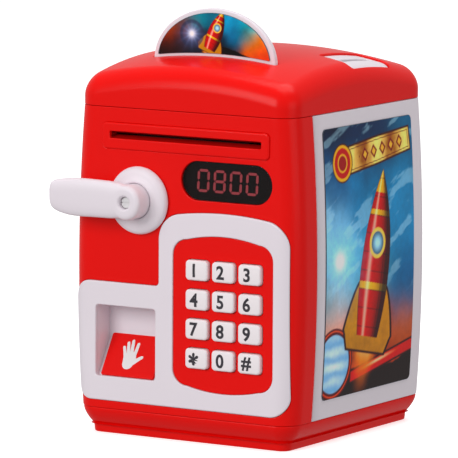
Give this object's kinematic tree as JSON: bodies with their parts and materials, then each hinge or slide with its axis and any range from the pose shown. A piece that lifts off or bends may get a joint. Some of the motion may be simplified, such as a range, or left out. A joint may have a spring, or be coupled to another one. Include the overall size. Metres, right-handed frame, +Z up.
{
  "type": "toy atm savings bank",
  "caption": "Upright toy cash-machine money box with domed cap, sign, keypad, display, note slot, coin slot, palm scanner and a hinged front door with a turning handle and bolt.",
  "frame": {"origin": "centre of the bounding box at the foot's underside, on the surface that the bank stands on", "axes": "+Z up, the front with keypad and handle faces -Y, +X to the right seen from the front"},
  "size_m": [0.1336, 0.145, 0.2107],
  "materials": {
    "red_plastic": "glossy moulded ABS",
    "white_plastic": "satin moulded ABS, slightly cool white",
    "white_keys": "satin, printed black digits",
    "smoked_lens": "polished dark smoked plastic",
    "black_plastic": "matt moulded",
    "steel": "zinc plated",
    "nylon": "natural nylon",
    "rubber": "matt",
    "silicone": "matt grey silicone",
    "board": "green lacquered board",
    "print": null
  },
  "bodies": {
    "bank": {"base_tray": "red_plastic", "rear_casing": "white_plastic", "top_cap": "red_plastic", "coin_slot_plate": "white_plastic", "sign_plate": "white_plastic", "sign_label": "print", "side_label_right": "print", "side_label_left": "print", "strike_plate": "steel", "hinge_pin_upper": "steel", "hinge_pin_lower": "steel", "battery_cover": "red_plastic", "battery_cover_screw": "steel", "battery_contact_front": "steel", "battery_contact_rear": "steel", "case_screw_1": "steel", "case_screw_2": "steel", "case_screw_3": "steel", "case_screw_4": "steel"},
    "door": {"door_shell": "red_plastic", "door_trim": "white_plastic", "scan_plate": "red_plastic", "door_rear_cover": "black_plastic", "display_lens": "smoked_lens", "display_module": "black_plastic", "keypad_membrane": "silicone", "circuit_board": "board", "speaker": "black_plastic", "note_guide": "black_plastic", "note_motor": "steel", "handle_escutcheon": "white_plastic", "lock_solenoid": "black_plastic", "door_screw_1": "steel", "door_screw_2": "steel", "door_screw_3": "steel", "door_screw_4": "steel"},
    "handle": {"handle_lever": "white_plastic", "handle_screw": "steel", "handle_shaft": "steel", "latch_crank": "steel"},
    "bolt": {"latch_bolt": "steel"},
    "plunger": {"lock_plunger": "steel"},
    "drive_roller": {"drive_roller": "rubber", "roller_gear": "nylon"},
    "idler_roller": {"idler_roller": "rubber"},
    "pinion": {"motor_pinion": "nylon"},
    "key_1": {"key_1": "white_keys"},
    "key_2": {"key_2": "white_keys"},
    "key_3": {"key_3": "white_keys"},
    "key_4": {"key_4": "white_keys"},
    "key_5": {"key_5": "white_keys"},
    "key_6": {"key_6": "white_keys"},
    "key_7": {"key_7": "white_keys"},
    "key_8": {"key_8": "white_keys"},
    "key_9": {"key_9": "white_keys"},
    "key_star": {"key_star": "white_keys"},
    "key_0": {"key_0": "white_keys"},
    "key_hash": {"key_hash": "white_keys"}
  },
  "joints": [
    {"name": "door_swing", "type": "hinge", "parent": "bank", "child": "door", "pos_m": [0.05594, -0.04955, 0.088], "axis": [0, 0, 1], "range_deg": [0, 105]},
    {"name": "handle_turn", "type": "hinge", "parent": "door", "child": "handle", "pos_m": [-0.02251, -0.05755, 0.1176], "axis": [0, -1, 0], "range_deg": [0, 60]},
    {"name": "bolt_slide", "type": "slide", "parent": "door", "child": "bolt", "axis": [-1, 0, 0], "range_m": [0, 0.006]},
    {"name": "plunger_drop", "type": "slide", "parent": "door", "child": "plunger", "axis": [0, 0, -1], "range_m": [0, 0.003], "stiffness_N_per_m": 50, "springref_m": -0.001},
    {"name": "roller_spin", "type": "hinge", "parent": "door", "child": "drive_roller", "pos_m": [0.00349, -0.04795, 0.144], "axis": [1, 0, 0], "continuous": true},
    {"name": "idler_spin", "type": "hinge", "parent": "door", "child": "idler_roller", "pos_m": [0.00349, -0.04795, 0.1526], "axis": [1, 0, 0], "continuous": true},
    {"name": "pinion_spin", "type": "hinge", "parent": "door", "child": "pinion", "pos_m": [0.00349, -0.0454, 0.13511], "axis": [1, 0, 0], "continuous": true},
    {"name": "key_1_press", "type": "slide", "parent": "door", "child": "key_1", "axis": [0, 1, 0], "range_m": [0, 0.0012], "stiffness_N_per_m": 150, "springref_m": -0.0005},
    {"name": "key_2_press", "type": "slide", "parent": "door", "child": "key_2", "axis": [0, 1, 0], "range_m": [0, 0.0012], "stiffness_N_per_m": 150, "springref_m": -0.0005},
    {"name": "key_3_press", "type": "slide", "parent": "door", "child": "key_3", "axis": [0, 1, 0], "range_m": [0, 0.0012], "stiffness_N_per_m": 150, "springref_m": -0.0005},
    {"name": "key_4_press", "type": "slide", "parent": "door", "child": "key_4", "axis": [0, 1, 0], "range_m": [0, 0.0012], "stiffness_N_per_m": 150, "springref_m": -0.0005},
    {"name": "key_5_press", "type": "slide", "parent": "door", "child": "key_5", "axis": [0, 1, 0], "range_m": [0, 0.0012], "stiffness_N_per_m": 150, "springref_m": -0.0005},
    {"name": "key_6_press", "type": "slide", "parent": "door", "child": "key_6", "axis": [0, 1, 0], "range_m": [0, 0.0012], "stiffness_N_per_m": 150, "springref_m": -0.0005},
    {"name": "key_7_press", "type": "slide", "parent": "door", "child": "key_7", "axis": [0, 1, 0], "range_m": [0, 0.0012], "stiffness_N_per_m": 150, "springref_m": -0.0005},
    {"name": "key_8_press", "type": "slide", "parent": "door", "child": "key_8", "axis": [0, 1, 0], "range_m": [0, 0.0012], "stiffness_N_per_m": 150, "springref_m": -0.0005},
    {"name": "key_9_press", "type": "slide", "parent": "door", "child": "key_9", "axis": [0, 1, 0], "range_m": [0, 0.0012], "stiffness_N_per_m": 150, "springref_m": -0.0005},
    {"name": "key_star_press", "type": "slide", "parent": "door", "child": "key_star", "axis": [0, 1, 0], "range_m": [0, 0.0012], "stiffness_N_per_m": 150, "springref_m": -0.0005},
    {"name": "key_0_press", "type": "slide", "parent": "door", "child": "key_0", "axis": [0, 1, 0], "range_m": [0, 0.0012], "stiffness_N_per_m": 150, "springref_m": -0.0005},
    {"name": "key_hash_press", "type": "slide", "parent": "door", "child": "key_hash", "axis": [0, 1, 0], "range_m": [0, 0.0012], "stiffness_N_per_m": 150, "springref_m": -0.0005}
  ],
  "couplings": [
    {"joint": "bolt_slide", "follows": "handle_turn", "m_per_rad": 0.005729},
    {"joint": "pinion_spin", "follows": "roller_spin", "ratio": -2},
    {"joint": "idler_spin", "follows": "roller_spin", "ratio": -1.2857}
  ]
}
